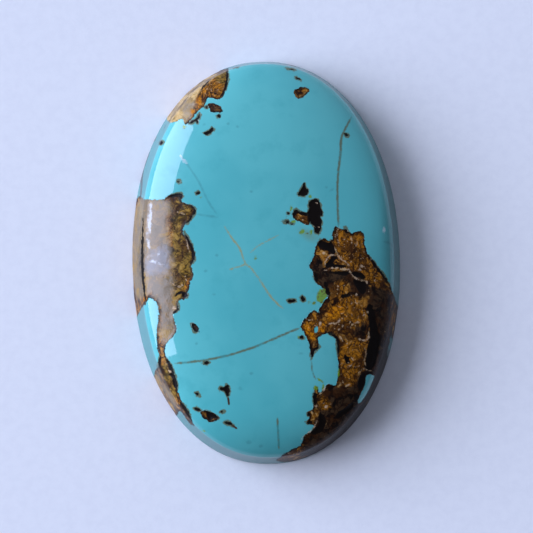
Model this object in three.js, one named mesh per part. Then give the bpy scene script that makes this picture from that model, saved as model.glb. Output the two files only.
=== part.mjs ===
// A polished oval turquoise cabochon: one loose stone with a low dome, a leaning side wall
// and a flat back. Millimetres, +Z up. The long axis lies along Y, and the origin is the
// middle of the flat back, which the stone rests on.

import * as THREE from 'three';

// Driving dimensions, in millimetres.
const LENGTH = 30.0;         // back outline along Y
const WIDTH = 20.0;          // back outline along X
const HEIGHT = 5.3;          // back face to the crown of the dome
const GIRDLE_HEIGHT = 3.3;   // back face to the edge where the wall meets the dome
const SIDE_INSET = 0.75;     // how far the wall leans in from the back to the girdle, at the sides
const END_INSET = 0.62;      // the same at the two ends
const BACK_BEVEL = 0.2;      // small chamfer round the flat back

// Shape of the outline and of the dome.
const OUTLINE_POWER = 2.15;  // 2 is an ellipse, more is squarer at the corners
const DOME_END_SHARE = 1.1;  // inset of a dome ring at the ends, for each millimetre at the sides
const DOME_POWER = 2.0;      // 2 is a round crown, more is a flatter one
const SHOULDER_POWER = 2.6;  // 1 is a plain shoulder, more is a fuller one
const DOME_REACH = 0.985;    // share of the dome curve's reach that is used; its foot would be upright

// Faceting.
const SPOKES = 112;          // steps round the outline
const WALL_STEPS = 2;        // steps up the wall
const DOME_STEPS = 17;       // steps from the girdle to the crown

const HALF_WIDTH = WIDTH / 2;
const HALF_LENGTH = LENGTH / 2;
const GIRDLE_HALF_WIDTH = HALF_WIDTH - SIDE_INSET;
const GIRDLE_HALF_LENGTH = HALF_LENGTH - END_INSET;

// Height of the dome curve over its foot, as a share of its rise, at a reach of 0 to 1.
function domeCurve(reach) {
  return (1 - reach ** DOME_POWER) ** (1 / SHOULDER_POWER);
}

// Half a cross-section through the sides, from the middle of the back to the crown.
function crossSection() {
  const points = [
    new THREE.Vector2(0, 0),
    new THREE.Vector2(HALF_WIDTH - BACK_BEVEL, 0),
  ];
  for (let step = 0; step <= WALL_STEPS; step += 1) {
    const up = step / WALL_STEPS;
    const halfWidth = THREE.MathUtils.lerp(HALF_WIDTH, GIRDLE_HALF_WIDTH, up);
    points.push(new THREE.Vector2(halfWidth, THREE.MathUtils.lerp(BACK_BEVEL, GIRDLE_HEIGHT, up)));
  }
  for (let step = 1; step <= DOME_STEPS; step += 1) {
    // Cosine spacing puts the steps closer together at the shoulder, where the dome turns most.
    const reach = step === DOME_STEPS ? 0 : Math.cos((step / DOME_STEPS) * (Math.PI / 2));
    const foot = domeCurve(DOME_REACH);
    const rise = (domeCurve(DOME_REACH * reach) - foot) / (1 - foot);
    const height = THREE.MathUtils.lerp(GIRDLE_HEIGHT, HEIGHT, rise);
    points.push(new THREE.Vector2(GIRDLE_HALF_WIDTH * reach, height));
  }
  return points;
}

// Half the length of the ring whose half width is given. On the wall it runs straight from the
// back outline to the girdle. On the dome the inset at the ends is DOME_END_SHARE of the inset
// at the sides near the girdle, and a square term closes the rings at the crown.
function ringHalfLength(halfWidth) {
  if (halfWidth >= GIRDLE_HALF_WIDTH) {
    const down = (halfWidth - GIRDLE_HALF_WIDTH) / SIDE_INSET;
    return THREE.MathUtils.lerp(GIRDLE_HALF_LENGTH, HALF_LENGTH, down);
  }
  const share = (DOME_END_SHARE * GIRDLE_HALF_WIDTH) / GIRDLE_HALF_LENGTH;
  const inset = 1 - halfWidth / GIRDLE_HALF_WIDTH;
  return GIRDLE_HALF_LENGTH * (1 - share * inset - (1 - share) * inset ** 2);
}

// A cosine or sine bent so that a circle drawn with it becomes the squarer outline.
function bent(value) {
  return Math.sign(value) * Math.abs(value) ** (2 / OUTLINE_POWER);
}

// The cross-section turned round the vertical axis, then each round ring drawn out to the oval.
function stoneGeometry() {
  const geometry = new THREE.LatheGeometry(crossSection(), SPOKES);
  geometry.rotateX(Math.PI / 2);
  const position = geometry.getAttribute('position');
  for (let index = 0; index < position.count; index += 1) {
    const halfWidth = Math.hypot(position.getX(index), position.getY(index));
    if (halfWidth > 0) {
      const across = bent(position.getX(index) / halfWidth);
      const along = bent(position.getY(index) / halfWidth);
      position.setX(index, halfWidth * across);
      position.setY(index, ringHalfLength(halfWidth) * along);
    }
  }
  geometry.computeVertexNormals();
  return geometry;
}

const turquoise = new THREE.MeshStandardMaterial({
  name: 'turquoise',
  color: new THREE.Color().setRGB(0.1, 0.44, 0.44),
  roughness: 0.15,
  metalness: 0.0,
});

const stone = new THREE.Mesh(stoneGeometry(), turquoise);
stone.name = 'turquoise_stone';

const cabochon = new THREE.Group();
cabochon.add(stone);

export default cabochon;
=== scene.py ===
"""A polished oval turquoise cabochon with brown limonite matrix, lying dome up on pale paper.

The stone is one closed surface: a low dome, a leaning side wall and a flat sawn back, which
follow one rounded section carried round an oval outline. The matrix patches, veins, small
inclusions and a few painted glints are laid out in millimetres on the plan of the stone. Each
kind of mark becomes a mesh attribute that says how deep a point lies inside it, which both the
relief and the finish use. The blue is also painted lighter on the right as painted light, and
darker at the near end and the right edge as painted shade.
"""
import itertools
import logging
import math
from dataclasses import dataclass
from enum import Enum

import bpy
import numpy as np
from mathutils import Matrix, Vector


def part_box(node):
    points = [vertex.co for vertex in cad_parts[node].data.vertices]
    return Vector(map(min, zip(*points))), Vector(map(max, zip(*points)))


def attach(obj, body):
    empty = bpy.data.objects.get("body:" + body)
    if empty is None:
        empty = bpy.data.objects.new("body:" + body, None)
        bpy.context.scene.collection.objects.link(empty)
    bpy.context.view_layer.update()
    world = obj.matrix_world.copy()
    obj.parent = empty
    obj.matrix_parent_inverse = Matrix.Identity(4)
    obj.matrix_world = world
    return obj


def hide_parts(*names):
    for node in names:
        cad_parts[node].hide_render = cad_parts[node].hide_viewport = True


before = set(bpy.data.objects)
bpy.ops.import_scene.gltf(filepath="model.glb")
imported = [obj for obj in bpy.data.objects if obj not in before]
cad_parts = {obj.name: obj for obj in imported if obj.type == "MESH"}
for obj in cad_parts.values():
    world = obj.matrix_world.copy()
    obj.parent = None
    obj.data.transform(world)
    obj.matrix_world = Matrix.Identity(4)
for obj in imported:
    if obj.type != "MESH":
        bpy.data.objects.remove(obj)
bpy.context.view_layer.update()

NODE = "turquoise_stone"
MM = 0.001
UV_MAP = "OFBake"
SAWN = "sawn"               # the mesh attribute that is 1 on the back and 0 elsewhere
TINY = 1e-9                 # keeps divisions and comparisons safe
Colour = tuple[float, float, float]
Points = tuple[tuple[float, float], ...]
log = logging.getLogger("cabochon")


class Tone(Enum):
    """What a mark is made of. The value is the name of the mesh attribute that holds its depth."""

    MATRIX = "matrix"
    BLACK = "black"
    UMBER = "umber"
    GOLD = "gold"
    OLIVE = "olive"
    AMBER = "amber"
    PALE = "pale"
    ORANGE = "orange"
    CREAM = "cream"
    GREEN = "green"
    # Painted glints: white specks that stand in for reflections.
    PAINTED_GLINT = "painted_glint"
    VEIL = "veil"
    HALO = "halo"
    TURQUOISE = "island"
    VEIN = "vein"
    TAN = "tan"
    STAIN = "stain"


# ---------------------------------------------------------------------------------------------
# Curves, distances and noise
# ---------------------------------------------------------------------------------------------

def smooth_curve(points: Points, closed: bool, steps: int = 5) -> np.ndarray:
    """Draws a Catmull-Rom curve through points.

    Each stretch between two points p1 and p2, with neighbours p0 and p3, is the cubic
    (2 p1 + (p2 - p0) t + (2 p0 - 5 p1 + 4 p2 - p3) t^2 + (3 p1 - p0 - 3 p2 + p3) t^3) / 2.

    Args:
        points: the points that the curve passes through.
        closed: whether it returns to its first point.
        steps: straight pieces in each stretch.

    Returns:
        The corners of the curve, one row each, without a repeated last one on a closed curve.
    """
    p = np.array(points, float)
    if closed:
        p0, p1, p2, p3 = np.roll(p, 1, 0), p, np.roll(p, -1, 0), np.roll(p, -2, 0)
    else:
        ends = np.vstack([2 * p[0] - p[1], p, 2 * p[-1] - p[-2]])
        p0, p1, p2, p3 = ends[:-3], ends[1:-2], ends[2:-1], ends[3:]
    t = (np.arange(steps) / steps)[None, :, None]
    p0, p1, p2, p3 = (q[:, None, :] for q in (p0, p1, p2, p3))
    curve = 0.5 * (2 * p1 + (p2 - p0) * t + (2 * p0 - 5 * p1 + 4 * p2 - p3) * t**2
                   + (3 * p1 - p0 - 3 * p2 + p3) * t**3)
    curve = curve.reshape(-1, 2)
    return curve if closed else np.vstack([curve, p[-1]])


def line_distance(plan: np.ndarray, line: np.ndarray) -> tuple[np.ndarray, np.ndarray]:
    """Distance from each plan point to a line of straight pieces.

    Args:
        plan: (n, 2) points.
        line: (m, 2) corners of the line.

    Returns:
        The distance, and the place of the nearest point along the line from 0 to 1.
    """
    distance = np.full(len(plan), np.inf)
    along = np.zeros(len(plan))
    pieces = len(line) - 1
    for number, (start, end) in enumerate(itertools.pairwise(line)):
        reach = end - start
        share = np.clip(((plan - start) @ reach) / max(reach @ reach, TINY**2), 0, 1)
        gap = np.hypot(*(plan - start - share[:, None] * reach).T)
        nearer = gap < distance
        distance[nearer] = gap[nearer]
        along[nearer] = (number + share[nearer]) / pieces
    return distance, along


def is_inside(plan: np.ndarray, outline: np.ndarray) -> np.ndarray:
    """Tells which plan points a closed outline encloses, by counting the crossings to their right.

    Args:
        plan: (n, 2) points.
        outline: (m, 2) corners, the last one joined to the first.

    Returns:
        True for each point that lies inside.
    """
    x, y = plan.T
    inside = np.zeros(len(plan), bool)
    for (x0, y0), (x1, y1) in zip(outline, np.roll(outline, -1, 0)):
        if y0 != y1:
            crosses = (y0 > y) != (y1 > y)
            inside ^= crosses & (x < x0 + (y - y0) * (x1 - x0) / (y1 - y0))
    return inside


NOISE_VALUES = 4096                             # how many random values the noise draws
NOISE_PRIMES = (73856093, 19349663, 83492791)   # spread the lattice's corners over the values


def lattice_noise(points: np.ndarray, wavelength: float, seed: int) -> np.ndarray:
    """Smooth noise: random values on a cubic lattice, eased with 3 t^2 - 2 t^3 between its points.

    Args:
        points: (n, 3) points in millimetres.
        wavelength: the lattice spacing in millimetres.
        seed: which random values are used.

    Returns:
        A value from -1 to 1 for each point.
    """
    table = np.random.default_rng(seed).uniform(-1, 1, NOISE_VALUES)
    cell = np.floor(points / wavelength).astype(np.int64)
    part = points / wavelength - cell
    ease = part**2 * (3 - 2 * part)
    total = np.zeros(len(points))
    for corner in itertools.product((0, 1), repeat=3):
        x, y, z = ((cell + corner) * NOISE_PRIMES).T
        index = (x ^ y ^ z) % table.size
        total += np.prod(np.where(corner, ease, 1 - ease), axis=1) * table[index]
    return total


def ramp_up(value: np.ndarray, low: float, high: float) -> np.ndarray:
    """Eases from 0 to 1 as value goes from low to high."""
    t = np.clip((value - low) / (high - low), 0, 1)
    return t * t * (3 - 2 * t)


# ---------------------------------------------------------------------------------------------
# Marks
# ---------------------------------------------------------------------------------------------

FAR_OUT = -1.0     # depths are kept between these two, in millimetres
DEEP_IN = 2.5


@dataclass(frozen=True)
class Mark:
    """One mark on the plan of the stone; depth is positive inside it, in millimetres."""

    tone: Tone

    def depth(self, plan: np.ndarray) -> np.ndarray:
        """Works out how deep plan points lie inside the mark; each kind of mark has its formula."""
        raise NotImplementedError

    def near(self, plan: np.ndarray, corners: np.ndarray, reach: float) -> np.ndarray:
        """Picks the plan points whose depth may be more than FAR_OUT.

        Args:
            plan: (n, 2) points.
            corners: (m, 2) corners of the mark.
            reach: how far the mark reaches past its corners.

        Returns:
            True for each point in the box round the corners, with a margin.
        """
        margin = reach - FAR_OUT
        low, high = corners.min(0) - margin, corners.max(0) + margin
        return np.all((plan > low) & (plan < high), axis=1)


@dataclass(frozen=True)
class Patch(Mark):
    """An area with a closed outline."""

    outline: Points

    def depth(self, plan: np.ndarray) -> np.ndarray:
        """The depth is the distance to the outline, negative outside it.

        Args:
            plan: (n, 2) points.

        Returns:
            The depth of each point.
        """
        edge = smooth_curve(self.outline, closed=True)
        result = np.full(len(plan), FAR_OUT)
        close = self.near(plan, edge, 0.0)
        distance, _ = line_distance(plan[close], np.vstack([edge, edge[:1]]))
        result[close] = np.where(is_inside(plan[close], edge), distance, -distance)
        return result


@dataclass(frozen=True)
class Streak(Mark):
    """A line that tapers to both ends, such as a vein."""

    route: Points
    width: float
    taper: float                # share of the length over which each end narrows
    end_share: float = 0.35     # width of the ends beside that of the middle

    def depth(self, plan: np.ndarray) -> np.ndarray:
        """The depth is half the width, less towards the ends, minus the distance to the route.

        Args:
            plan: (n, 2) points.

        Returns:
            The depth of each point.
        """
        line = smooth_curve(self.route, closed=False)
        result = np.full(len(plan), FAR_OUT)
        close = self.near(plan, line, self.width)
        distance, along = line_distance(plan[close], line)
        from_end = np.minimum(along, 1 - along)
        full = self.end_share + (1 - self.end_share) * ramp_up(from_end, 0.0, self.taper)
        result[close] = self.width / 2 * full - distance
        return result


@dataclass(frozen=True)
class Spot(Mark):
    """A small oval: length lies turn degrees anticlockwise from +X."""

    x: float
    y: float
    length: float
    width: float
    turn: float = 0.0

    def depth(self, plan: np.ndarray) -> np.ndarray:
        """The depth is (1 - r) times the shorter radius, where r is 1 on the oval's edge.

        Args:
            plan: (n, 2) points.

        Returns:
            The depth of each point.
        """
        c, s = math.cos(math.radians(self.turn)), math.sin(math.radians(self.turn))
        x, y = plan[:, 0] - self.x, plan[:, 1] - self.y
        r = np.hypot((x * c + y * s) * 2 / self.length, (y * c - x * s) * 2 / self.width)
        return (1 - r) * min(self.length, self.width) / 2


def patches(tone: Tone, *outlines: Points) -> tuple[Patch, ...]:
    """Makes a patch of one tone for each outline."""
    return tuple(Patch(tone, outline) for outline in outlines)


def streaks(tone: Tone, *rows: tuple, taper: float = 0.15) -> tuple[Streak, ...]:
    """Makes a streak of one tone for each row: its width, then the points of its route."""
    return tuple(Streak(tone, tuple(route), width, taper) for width, *route in rows)


def spots(tone: Tone, *rows: tuple[float, ...]) -> tuple[Spot, ...]:
    """Makes a spot of one tone for each row: x, y, length, width and, where it turns, its turn."""
    return tuple(Spot(tone, *row) for row in rows)


BIG_PATCH = (
    # Its head, which stands out to the left.
    *patches(Tone.MATRIX,
        ((4.7, 1.7), (4.9, 2.25), (5.25, 2.0), (5.7, 2.0), (6.05, 1.7), (6.6, 1.85), (6.95, 1.7),
         (7.1, 0.7), (7.4, 0.0), (8.0, -0.9), (8.6, -1.7), (9.0, -2.3), (9.15, -4.2), (4.0, -4.2),
         (3.85, -3.3), (4.25, -2.85), (4.1, -2.4), (3.4, -1.85), (3.2, -1.1), (2.95, -0.6), (3.25, 0.1),
         (3.45, 0.7), (3.9, 1.35), (4.6, 1.2))),
    # Its arm, which hooks down round a bay of turquoise.
    *patches(Tone.MATRIX,
        ((2.2, -4.95), (2.6, -4.3), (3.2, -3.75), (3.5, -4.0), (4.2, -3.9), (5.6, -3.9), (5.5, -6.0),
         (4.85, -6.0), (4.4, -5.5), (3.95, -5.5), (3.45, -5.85), (3.5, -6.5), (3.05, -6.85), (2.98, -7.4),
         (2.85, -6.6), (2.7, -5.9), (2.45, -5.4))),
    # Its trunk and foot, which run over the edge of the stone.
    *patches(Tone.MATRIX,
        ((4.85, -3.6), (9.15, -3.6), (9.1, -6.2), (9.2, -7.2), (10.5, -7.8), (9.6, -10.6), (6.8, -14.0),
         (2.6, -16.2), (0.4, -15.4), (0.6, -14.4), (1.2, -13.95), (2.05, -13.5), (2.35, -12.8),
         (2.9, -12.45), (3.1, -11.9), (2.95, -11.2), (3.1, -9.4), (3.35, -9.35), (3.5, -9.75), (4.1, -9.15),
         (4.8, -9.05), (4.85, -6.2)),
        ((2.5, -11.85), (2.75, -11.5), (2.6, -11.15), (3.0, -11.0), (3.3, -12.1))),
    # Gold, with fibres.
    *patches(Tone.GOLD,
        ((4.9, 2.2), (6.8, 1.8), (7.0, 0.6), (7.5, -0.3), (8.4, -1.6), (7.4, -1.9), (6.9, -1.1),
         (6.0, -0.9), (5.2, -0.1), (4.8, 1.1)),
        ((4.9, -1.95), (5.6, -1.9), (5.6, -2.7), (5.0, -2.8)),
        ((2.4, -4.7), (3.0, -4.2), (3.6, -4.2), (3.5, -4.9), (2.8, -5.1)),
        ((5.2, -3.0), (6.4, -3.0), (6.9, -4.5), (5.4, -5.5), (4.6, -5.0)),
        ((5.1, -6.3), (6.7, -6.1), (6.6, -7.4), (6.2, -9.0), (5.2, -9.2), (5.0, -7.6)),
        ((3.5, -9.95), (4.0, -10.1), (4.2, -10.6), (3.9, -11.0), (3.5, -10.8)),
        ((1.1, -14.1), (1.9, -13.8), (2.4, -13.8), (1.3, -14.3))),
    # Dark brown ground.
    *patches(Tone.UMBER,
        ((3.3, -0.3), (3.9, -0.1), (4.2, -0.9), (5.8, -1.1), (7.2, -1.8), (7.2, -2.9), (5.9, -2.6),
         (5.7, -1.8), (4.8, -1.8), (4.2, -2.3), (3.5, -1.8), (3.2, -1.1)),
        ((7.4, -2.3), (8.8, -2.6), (8.9, -3.6), (7.4, -3.6)),
        ((7.3, -3.0), (8.9, -3.0), (9.0, -6.5), (10.5, -7.2), (9.6, -10.6), (6.8, -14.0), (2.6, -16.2),
         (2.2, -13.3), (2.9, -12.5), (3.3, -11.3), (3.6, -9.8), (4.4, -9.3), (5.8, -9.4), (6.5, -8.4),
         (7.1, -8.0), (7.2, -6.0)),
        ((6.05, -5.6), (6.0, -5.1), (6.4, -4.7), (6.9, -4.8), (6.9, -5.8), (6.4, -5.9))),
    *spots(Tone.UMBER, (3.55, -5.55, 0.4, 0.35)),
    *streaks(Tone.UMBER, (0.25, (5.3, -8.0), (5.25, -9.0)), (0.2, (5.8, -7.6), (5.85, -8.6))),
    # Orange.
    *patches(Tone.ORANGE,
        ((4.15, -4.5), (4.2, -3.9), (4.6, -3.55), (5.3, -3.35), (5.5, -3.7), (5.2, -4.2), (4.6, -4.6)),
        ((2.3, -5.0), (2.8, -4.9), (3.2, -5.4), (3.2, -5.9), (2.7, -5.8))),
    *spots(Tone.ORANGE, (3.8, -5.1, 1.0, 0.4, 70)),
    # Black blocks in the head, with the hook and the strip beside the trunk.
    *patches(Tone.BLACK,
        ((3.6, 0.85), (3.8, 1.25), (4.4, 1.0), (4.6, 1.15), (4.9, 0.35), (4.6, 0.25), (3.95, 0.65)),
        ((4.05, -0.7), (4.3, -0.3), (4.6, 0.0), (5.0, 0.0), (4.75, -0.45), (5.7, -0.65), (5.6, -0.8)),
        ((4.35, -1.05), (5.95, -1.05), (5.85, -1.25), (5.3, -1.35)),
        ((6.05, -1.15), (6.6, -1.1), (7.0, -1.4), (6.9, -1.6), (6.2, -1.45)),
        ((6.1, -1.6), (6.6, -1.75), (7.05, -1.9), (6.95, -2.65), (6.5, -2.5)),
        ((5.35, -7.1), (5.7, -7.25), (5.75, -7.6), (5.5, -7.75)),
        ((7.1, -3.7), (7.5, -3.6), (7.9, -5.2), (8.0, -6.2), (7.6, -7.9), (6.9, -8.2), (7.05, -6.6),
         (7.3, -5.6)),
        ((6.5, -8.6), (6.9, -8.5), (6.85, -9.2), (6.5, -9.7), (6.3, -9.2))),
    *spots(Tone.BLACK,
        (5.75, 1.8, 0.5, 0.25, 110), (3.75, -0.35, 0.4, 0.3), (2.7, -11.3, 0.3, 0.25),
        (2.75, -11.85, 0.45, 0.25)),
    *streaks(Tone.BLACK,
        (0.25, (3.4, -1.2), (3.45, -1.75)), (0.28, (4.1, -1.8), (4.2, -2.3), (4.3, -2.75)),
        (0.25, (5.2, -2.9), (5.9, -2.7)), (0.17, (7.3, 0.05), (7.9, -0.8), (8.3, -1.3), (8.8, -2.0)),
        (0.17, (3.55, -6.4), (3.1, -6.75), (2.98, -7.25)),
        (0.13, (4.2, -5.45), (4.8, -5.8), (4.9, -6.4), (4.88, -7.1)), (0.28, (3.15, -9.7), (3.15, -10.6)),
        (0.45, (3.5, -11.2), (3.7, -11.9), (3.4, -12.4), (2.9, -12.7)),
        (0.4, (4.6, -11.6), (5.4, -11.1), (6.0, -10.6))),
    # Cream seams and grains.
    *streaks(Tone.CREAM,
        (0.14, (4.75, 1.1), (4.95, 0.4), (5.2, -0.1), (5.75, -0.5), (5.95, -1.2), (6.5, -1.65), (7.1, -1.8),
         (7.3, -2.6)),
        (0.13, (5.0, 0.1), (4.5, 0.15), (4.15, -0.3), (4.0, -0.75)),
        (0.17, (4.0, -0.95), (4.8, -0.8), (5.4, -0.9), (5.95, -0.9)),
        (0.1, (5.0, 2.0), (5.1, 1.3), (5.2, 0.6)), (0.12, (6.05, 1.5), (6.1, 0.9)),
        (0.1, (6.5, 1.3), (6.45, 0.7)),
        (0.15, (4.0, -5.0), (4.5, -4.75), (4.8, -4.8), (5.2, -4.45), (5.5, -4.5)),
        (0.14, (4.9, -5.3), (5.2, -5.1), (5.3, -4.85)),
        (0.15, (5.75, -5.3), (5.95, -4.95), (6.3, -4.75), (6.6, -4.8)),
        (0.18, (6.3, -5.95), (6.8, -6.05), (7.15, -5.9), (7.2, -5.4)),
        (0.15, (6.85, -6.5), (6.95, -7.0), (6.85, -7.5), (6.95, -7.9)),
        (0.12, (6.4, -8.35), (6.8, -8.1), (7.2, -8.25), (7.5, -8.3)), (0.15, (5.0, -5.65), (5.3, -6.1)),
        (0.12, (5.35, -7.85), (5.7, -7.9), (5.95, -7.7)), (0.14, (3.5, -9.85), (3.75, -9.6), (4.0, -9.2)),
        (0.13, (3.35, -11.6), (3.1, -12.2), (2.6, -12.65), (2.2, -12.95), (2.05, -13.4))),
    # The spot at 7.12, -4.0 is a painted glint; the rest are cream grains.
    *spots(Tone.CREAM,
        (3.65, -4.8, 0.6, 0.22, 100), (4.0, 0.3, 0.35, 0.28), (6.8, -0.7, 0.4, 0.25),
        (6.3, -2.75, 0.28, 0.2), (7.12, -4.0, 0.3, 0.2, 80), (5.6, -9.25, 0.5, 0.22, 20),
        (3.95, -10.8, 0.45, 0.25, 10), (3.25, -10.7, 0.28, 0.22)),
    # Green fringes.
    *patches(Tone.GREEN, ((4.1, -2.3), (3.6, -2.4), (3.45, -3.0), (3.7, -3.35), (4.1, -2.9))),
    *spots(Tone.GREEN, (3.25, -9.4, 0.35, 0.3), (3.5, -8.85, 0.4, 0.18, -40), (3.75, -9.3, 0.35, 0.14, 80)),
    *streaks(Tone.GREEN, (0.15, (4.9, -8.0), (4.9, -8.6))),
    # Turquoise that the patch leaves free.
    *spots(Tone.TURQUOISE, (3.35, -5.2, 0.5, 0.25, 80)),
    *patches(Tone.TURQUOISE,
        ((7.0, -8.6), (7.6, -8.65), (7.35, -9.4), (6.95, -10.1), (6.5, -10.6), (6.35, -10.4), (6.85, -9.3))),
)

LEFT_PATCH = (
    *patches(Tone.MATRIX,
        ((-10.5, 4.7), (-9.1, 4.6), (-7.6, 4.5), (-6.9, 4.8), (-6.2, 4.8), (-6.15, 4.3), (-5.5, 4.0),
         (-5.15, 3.6), (-5.4, 3.1), (-6.1, 2.35), (-5.85, 1.6), (-5.5, 0.9), (-5.3, 0.15), (-5.55, -0.4),
         (-5.35, -1.05), (-5.65, -1.6), (-5.8, -2.2), (-6.05, -2.8), (-6.55, -2.9), (-6.6, -3.5),
         (-6.95, -3.9), (-6.7, -4.9), (-7.0, -5.4), (-7.55, -6.1), (-7.55, -6.8), (-7.1, -7.7),
         (-6.85, -8.6), (-6.7, -9.4), (-6.4, -10.4), (-5.95, -11.1), (-5.65, -12.0), (-6.2, -11.6),
         (-6.8, -10.9), (-7.9, -11.4), (-9.7, -8.8), (-9.4, -7.75), (-8.2, -7.7), (-8.0, -7.0),
         (-8.2, -5.8), (-8.05, -4.2), (-8.0, -3.3), (-8.5, -2.65), (-9.0, -3.0), (-9.6, -4.0),
         (-10.5, -4.9))),
    *patches(Tone.PALE,
        ((-10.2, 4.4), (-7.0, 4.3), (-7.2, 2.8), (-6.9, 0.4), (-6.8, -1.4), (-6.8, -4.0), (-7.1, -5.8),
         (-8.0, -5.6), (-8.0, -3.2), (-8.6, -2.4), (-10.2, -2.4)),
        ((-8.7, -7.9), (-8.1, -8.0), (-7.9, -8.9), (-7.0, -10.4), (-7.8, -10.6))),
    *patches(Tone.OLIVE,
        ((-7.2, 4.3), (-4.9, 4.2), (-5.3, 2.4), (-4.9, 0.2), (-5.0, -1.6), (-6.2, -3.4), (-6.5, -5.6),
         (-7.2, -5.4), (-6.9, -1.6), (-6.9, 2.4)),
        ((-7.6, -7.2), (-7.1, -7.8), (-6.8, -9.6), (-7.6, -10.0), (-7.9, -8.6))),
    *patches(Tone.GOLD, ((-6.1, -0.9), (-5.6, -0.8), (-5.6, -1.4), (-6.0, -2.3), (-6.4, -2.2))),
    *patches(Tone.UMBER,
        ((-6.3, 3.1), (-5.6, 3.2), (-5.9, 2.6), (-6.2, 2.5)),
        ((-6.2, 0.6), (-5.8, 0.8), (-5.6, 0.2), (-5.8, -0.4), (-6.2, -0.2)),
        ((-7.9, -7.7), (-7.5, -7.6), (-7.4, -8.4), (-7.8, -8.7))),
    *spots(Tone.ORANGE, (-5.8, -1.65, 0.9, 0.35, 60), (-9.05, -2.8, 0.5, 0.35, 80)),
    *spots(Tone.AMBER, (-9.3, 3.8, 1.2, 0.5, 85)),
    *streaks(Tone.BLACK,
        (0.25, (-7.0, 4.65), (-6.6, 4.75), (-6.2, 4.75), (-6.2, 4.45)),
        (0.14, (-5.6, 3.95), (-5.2, 3.65), (-5.4, 3.15), (-5.9, 2.6)),
        (0.22, (-6.0, 2.05), (-5.75, 1.45), (-5.45, 0.8), (-5.38, 0.15), (-5.6, -0.3)),
        (0.2, (-6.8, -2.55), (-6.4, -2.3), (-6.1, -2.4)), (0.16, (-6.6, -3.1), (-6.6, -3.5), (-6.9, -3.75)),
        (0.22, (-7.95, -6.9), (-8.05, -7.6)), (0.25, (-7.5, -7.1), (-7.15, -7.8), (-7.05, -8.2)),
        (0.3, (-7.3, -8.2), (-7.0, -8.4), (-6.85, -9.3)),
        (0.25, (-6.6, -10.2), (-6.2, -10.8), (-5.9, -11.4))),
    *spots(Tone.BLACK, (-6.05, -2.5, 0.45, 0.4)),
    # Cream seams and grains.
    *streaks(Tone.CREAM,
        (0.12, (-6.0, 1.8), (-5.8, 1.2), (-5.65, 0.5)), (0.14, (-7.1, -1.5), (-6.7, -1.8), (-6.2, -1.9)),
        (0.1, (-6.6, 3.6), (-6.1, 3.4), (-5.8, 3.3)), (0.2, (-7.4, -7.9), (-7.2, -8.0))),
    *spots(Tone.CREAM, (-6.85, -3.4, 0.4, 0.3, 60)),
    # The groove along the edge of the dome, with the olive stains beside it and on the wall.
    *streaks(Tone.OLIVE, (0.4, (-9.15, 3.2), (-9.25, 1.0))),
    *streaks(Tone.BLACK,
        (0.26, (-9.0, 3.2), (-9.1, 1.6), (-9.15, 0.0), (-9.1, -1.4), (-8.95, -2.8)), taper=0.5),
    *streaks(Tone.OLIVE, (0.5, (-9.75, -0.6), (-9.7, -1.6)), taper=0.3),
    *streaks(Tone.UMBER,
        (0.2, (-9.02, 3.5), (-9.15, 2.0), (-9.22, 0.0), (-9.15, -2.0), (-8.98, -3.1)), taper=0.02),
    # The dark line along the edge from this patch to the top one.
    *streaks(Tone.UMBER, (0.3, (-7.15, 10.9), (-8.3, 8.8), (-9.1, 6.6), (-9.5, 4.7)), taper=0.05),
    # A cloudy grey spot in the pale ground, and painted glints: small white specks on it and a broken line
    # of them beside the groove.
    *patches(Tone.VEIL, ((-8.7, 0.4), (-8.0, 1.0), (-7.3, 0.9), (-7.2, -0.3), (-8.0, -0.8), (-8.7, -0.5))),
    *spots(Tone.PAINTED_GLINT,
        (-8.5, 0.45, 0.35, 0.25, 25), (-8.35, 0.0, 0.4, 0.2, -10), (-7.8, -0.2, 0.35, 0.2, -30),
        (-7.9, 0.55, 0.25, 0.15, 60)),
    *streaks(Tone.PAINTED_GLINT, (0.28, (-8.4, 4.3), (-8.5, 3.2), (-8.65, 2.0), (-8.6, 1.0)), taper=0.5),
)

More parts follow.
